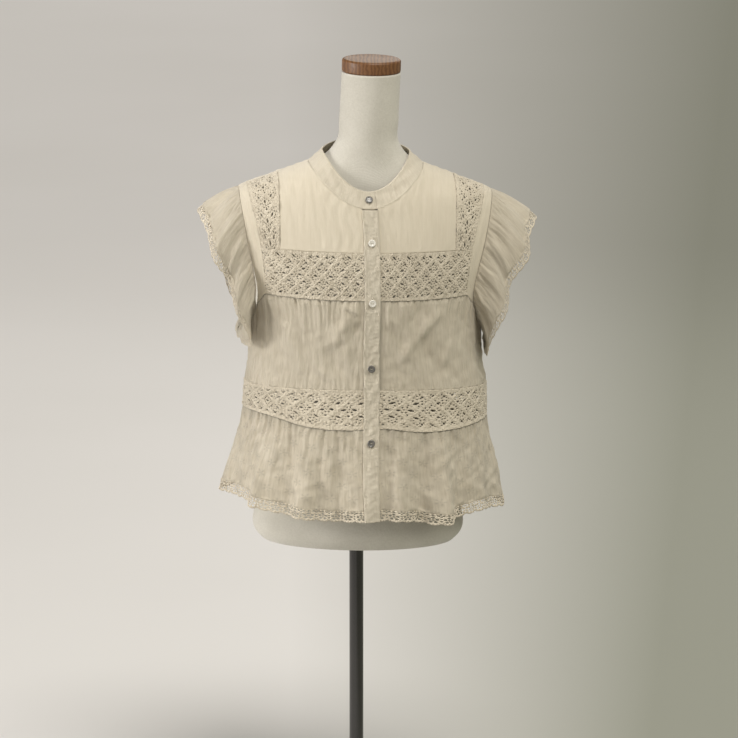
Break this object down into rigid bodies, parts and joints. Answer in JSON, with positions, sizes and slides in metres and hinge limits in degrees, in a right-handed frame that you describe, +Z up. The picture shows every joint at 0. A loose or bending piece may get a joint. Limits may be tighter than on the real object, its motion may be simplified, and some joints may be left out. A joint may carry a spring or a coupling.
{
  "type": "crochet top on a dress form",
  "caption": "Short cream gauze blouse with crochet lace bands, flutter sleeves and a flared peplum, buttoned on a limbless dress form with a pole stand.",
  "frame": {"origin": "on the floor, at the centre of the stand base's flat underside, under the pole's axis", "axes": "+Z up along the pole; the blouse's front faces -Y, turned 4.5 degrees towards +X; the wearer's left is at +X"},
  "size_m": [0.5194, 0.28, 1.2125],
  "materials": {
    "gauze": "cream crinkled cotton gauze, matt, slightly sheer",
    "crochet": "cream cotton crochet lace, open work",
    "form_cover": "off-white knit cover pulled smooth over the form",
    "cap_wood": "turned beech, stained brown, satin",
    "stand_metal": "dark metal, glossy",
    "shell_button": "pearly shell, polished"
  },
  "bodies": {
    "root": {"base": "stand_metal", "base_socket": "stand_metal", "pole": "stand_metal", "dress_form": "form_cover", "neck_cap": "cap_wood", "collar_band": "gauze", "placket": "gauze", "under_placket": "gauze", "button_1": "shell_button", "button_2": "shell_button", "button_3": "shell_button", "button_4": "shell_button", "button_5": "shell_button", "yoke_front_right": "gauze", "yoke_front_left": "gauze", "yoke_back": "gauze", "shoulder_lace_right": "crochet", "shoulder_lace_left": "crochet", "chest_lace_right": "crochet", "chest_lace_left": "crochet", "armhole_front_right": "gauze", "armhole_front_left": "gauze", "bodice_front_right": "gauze", "bodice_front_left": "gauze", "bodice_back": "gauze", "waist_lace_front_right": "crochet", "waist_lace_front_left": "crochet", "waist_lace_back": "crochet", "peplum_front_right": "gauze", "peplum_front_left": "gauze", "peplum_back": "gauze", "hem_lace_front_right": "crochet", "hem_lace_front_left": "crochet", "hem_lace_back": "crochet", "sleeve_right": "gauze", "sleeve_left": "gauze", "sleeve_lace_right": "crochet", "sleeve_lace_left": "crochet"}
  },
  "joints": []
}
